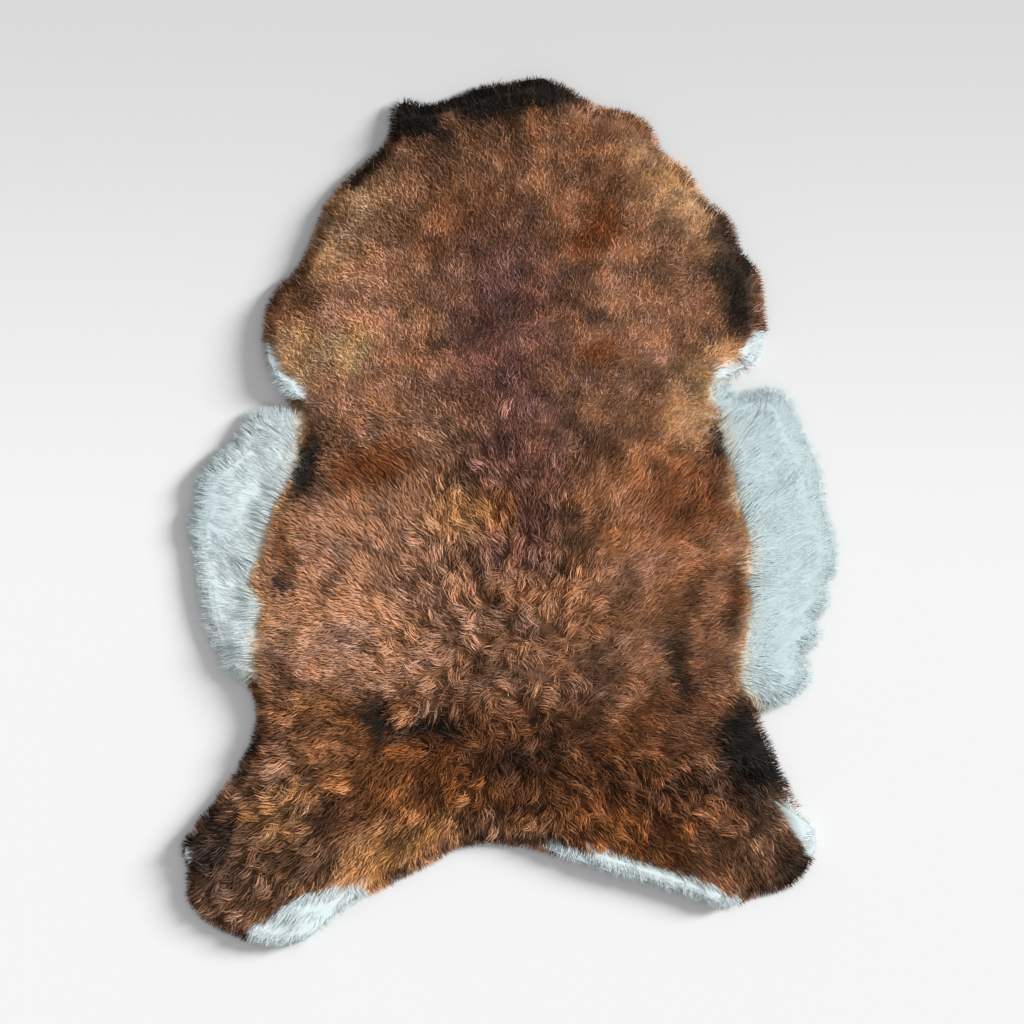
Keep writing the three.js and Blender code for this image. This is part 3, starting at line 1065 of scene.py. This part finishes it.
class SHEEPSKIN_OT_wool(bpy.types.Operator):
    """Grow the wool: brown locks by zone of the back, and white locks on the flanks and edges"""

    bl_idname = "sheepskin.wool"
    bl_label = "Wool"

    def execute(self, context):
        settings = context.scene.sheepskin_wool
        solid = Solid()
        random = np.random.default_rng(settings.seed)
        roots = self.roots(solid, settings.white_spacing, random, True)
        material = wool_material("white_locks", True)
        self.grow("flank_wool", roots, material, "white_wool", settings, random)
        roots = self.roots(solid, settings.brown_spacing, random, False)
        material = wool_material("brown_locks", True)
        zone = np.searchsorted(list(ZONES.values()), roots.place[:, 1]) - 1
        for k, name in enumerate(ZONES):
            here = zone == k
            sides = {name: here}
            if k == 0:
                left = roots.place[:, 0] < RUMP_PARTING
                sides = {"left_" + name: here & left, "right_" + name: here & ~left}
            for part, mask in sides.items():
                some = chosen(roots, mask)
                self.grow(part, some, material, "brown_wool", settings, random)
        flat = solid.edge.max(axis=0) - solid.edge.min(axis=0)
        area = solid.area * MM**2
        tuple(flat * MM)
        return {"FINISHED"}

    def roots(self, solid, spacing, random, is_white):
        """Roots of the white or of the brown wool, by how white the wool is where they lie."""
        roots = scatter(solid, spacing / MM, random)
        ahead = np.clip(roots.distance + 3, 0, 6)[:, None] * lie_heading(roots)
        white = whiteness(roots.place + ahead)
        return chosen(roots, (random.uniform(0.2, 0.8, len(white)) < white) == is_white)

    def kinds(self, roots, is_white, settings, random):
        """Kinds of lock and the roots of each: white locks are alike; whole tufts are curly where the
        brown wool is tufted, the neck and shoulders are shorn close, and the rest is combed."""
        if is_white:
            return [(FLANK, roots)]
        centre, _ = nearest_tuft(roots.place, settings.tuft_size / MM, TUFT_SEED)
        chance = tuft_chance(centre, KIND_SEED)
        curly = chance[:, 0] < tuftedness(centre)
        curly &= random.uniform(0, 1, len(centre)) < 0.8
        shorn = ~curly & (chance[:, 1] < ease(centre[:, 1], SHORN_FROM, SHORN_TO))
        masks = ((COMBED, ~curly & ~shorn), (SHORN, shorn), (CURLY, curly))
        return [(lock, chosen(roots, mask)) for lock, mask in masks]

    def grow(self, name, roots, material, slot, settings, random):
        """A piece of locks of every kind that its roots bear, thinner near the rim."""
        is_white = slot == "white_wool"
        thinning = 0.35 if is_white else 0.15
        softness = settings.white_softness if is_white else settings.brown_softness
        parts = []
        first_corner = first_lock = 0
        for lock, some in self.kinds(roots, is_white, settings, random):
            count = len(some.place)
            paths, *marks = lock_paths(some, lock, settings, random)
            width = lock.width * settings.lock_width / MM * random.uniform(0.7, 1.3, count)
            width *= 1 - thinning * (1 - ease(some.distance, 4, RIM_BAND))
            corners, faces, normals = lock_spindles(paths, lock.shape, width, random)
            tints = self.tints(paths, *marks, lock, random)
            cells = lock_cells(first_lock, count, len(lock.shape) - 2)
            parts.append((corners, faces + first_corner, normals, tints, cells))
            first_corner += len(corners)
            first_lock += count
        corners, faces, normals, tints, cells = map(np.concatenate, zip(*parts))
        piece = smooth_piece(name, corners, faces, material)
        paint(piece, tints)
        soften(piece, normals, softness)
        layer = piece.data.uv_layers.new(name=FLAT_LAYER)
        layer.data.foreach_set("uv", cells.ravel())
        return piece

    def tints(self, paths, chance, crown, tip_distance, lock, random):
        """Tints of the locks' corners: the wool's tint where the lock lies, gold and straw along the belly
        line but not on black wool, lighter and darker by tuft and by lock, curly locks darker near their
        tufts' partings as painted shade, darker at the rim from dark tips and painted shade and streaked
        there, painted shade at the root and a pale, bleached tip."""
        count = len(paths)
        middle = 0.5 * (paths[:, 0, :2] + paths[:, -1, :2])
        depth = flank_depth(middle)
        shade = lock.shape[:, 4]
        if lock is FLANK:
            tint = flank_tint(middle)
            light = random.normal(1, 0.02, count)
        else:
            tint = wool_tint(middle + random.normal(0, 4, middle.shape))
            for fringe in BROWN_FRINGE:
                cover = fringe.cover * ease(depth, fringe.start, fringe.end) * ease(tint[:, 0], 0.03, 0.12)
                tint = covered(tint, fringe.tint, cover)
            hue = random.normal(0, 1, count) + 1.6 * (chance[:, 0] - 0.5)
            tint *= np.exp(hue[:, None] * WARMTH_OF_LOCK)
            spread = 0.6 if lock is CURLY else 0.4
            light = np.exp(random.normal(0, 0.16, count)) * (1 + spread * (chance[:, 1] - 0.5))
            # Curly locks darken towards their tuft's parting, painted shade in the gaps between tufts;
            # combed locks are a little darker where the wool is tufted.
            light *= 0.6 + 0.66 * crown if lock is CURLY else 1 - 0.2 * tuftedness(middle)
            # Painted shade at the rim, where the wool turns down, stronger on the left towards the neck,
            # together with the darker tips that edge wool has.
            rim = 0.3 + 0.15 * ease(-middle[:, 0], -150, 50) * ease(middle[:, 1], 0, 200)
            light *= 1 - rim * (1 - ease(tip_distance, -6, 8))
            light *= np.exp(1.4 * (chance[:, 1] - 0.5) * (1 - ease(tip_distance, 0, 16)))
            light = np.minimum(light, 0.9 / tint.max(axis=1))
        tints = np.clip(tint * light[:, None] ** DEEPENING, 0.004, 0.96)
        # Each corner takes its step's shade: painted shade towards the root and a paler, bleached tip.
        steps = np.concatenate([[0], np.repeat(np.arange(1, len(shade) - 1), 3), [len(shade) - 1]])
        return (tints[:, None] * shade[steps][:, None] ** DEEPENING).reshape(-1, 3)


class SHEEPSKIN_OT_stage(bpy.types.Operator):
    """Set the floor, the soft light from the upper right and the camera straight above"""

    bl_idname = "sheepskin.stage"
    bl_label = "Stage"

    def execute(self, context):
        settings = context.scene.sheepskin_stage
        scene = context.scene
        self.add_floor(settings)
        sun = add_object(bpy.data.lights.new("sun", "SUN"))
        sun.data.energy = settings.sun
        sun.data.angle = settings.sun_size
        sun.rotation_euler = (0, np.pi / 2 - settings.sun_height, settings.sun_bearing)
        world = bpy.data.worlds.new("sky")
        world.use_nodes = True
        background = world.node_tree.nodes["Background"]
        background.inputs["Color"].default_value = rgba(settings.sky_colour)
        background.inputs["Strength"].default_value = settings.sky
        scene.world = world
        camera = add_object(bpy.data.cameras.new("camera"))
        camera.location = (0, 0, settings.camera_height)
        seen = PHOTO_SIDE_PX * PHOTO_MM_PER_PX * MM
        camera.data.lens = camera.data.sensor_width * settings.camera_height / seen
        scene.camera = camera
        scene.view_settings.view_transform = "Standard"
        return {"FINISHED"}

    def add_floor(self, settings):
        """A plain square floor at the height of the skin's back."""
        half = FLOOR_HALF
        corners = [(-half, -half, 0), (half, -half, 0), (half, half, 0), (-half, half, 0)]
        mesh = bpy.data.meshes.new("floor")
        mesh.from_pydata(corners, [], [(0, 1, 2, 3)])
        mesh.materials.append(floor_material("floor", settings.floor_colour))
        floor = add_object(mesh)


class VIEW3D_PT_sheepskin(bpy.types.Panel):
    """Sizes, colours and steps of the sheepskin"""

    bl_label = "Sheepskin"
    bl_space_type = "VIEW_3D"
    bl_region_type = "UI"
    bl_category = "Sheepskin"

    def draw(self, context):
        for name, group, operators in STEPS:
            for operator in operators:
                self.layout.operator(operator.bl_idname)
            settings = getattr(context.scene, name)
            for setting in group.__annotations__:
                self.layout.prop(settings, setting)


# The scene's settings, their group and the operators that use them, in the order of making.
STEPS = [
    ("sheepskin_skin", SheepskinSkin, [SHEEPSKIN_OT_skin]),
    ("sheepskin_wool", SheepskinWool, [SHEEPSKIN_OT_under_wool, SHEEPSKIN_OT_wool]),
    ("sheepskin_stage", SheepskinStage, [SHEEPSKIN_OT_stage]),
]
OPERATORS = [operator for _, _, operators in STEPS for operator in operators]
CLASSES = [*(group for _, group, _ in STEPS), *OPERATORS, VIEW3D_PT_sheepskin]


def register():
    """Adds the classes and the scene's settings."""
    for item in CLASSES:
        bpy.utils.register_class(item)
    for name, group, _ in STEPS:
        setattr(bpy.types.Scene, name, bpy.props.PointerProperty(type=group))


def unregister():
    """Takes the settings and the classes away again."""
    for name, _, _ in STEPS:
        delattr(bpy.types.Scene, name)
    for item in reversed(CLASSES):
        bpy.utils.unregister_class(item)


def main():
    """Makes the pieces in order."""
    register()
    bpy.ops.sheepskin.skin()
    bpy.ops.sheepskin.under_wool()
    bpy.ops.sheepskin.wool()
    bpy.ops.sheepskin.stage()


if __name__ == "__main__":
    main()
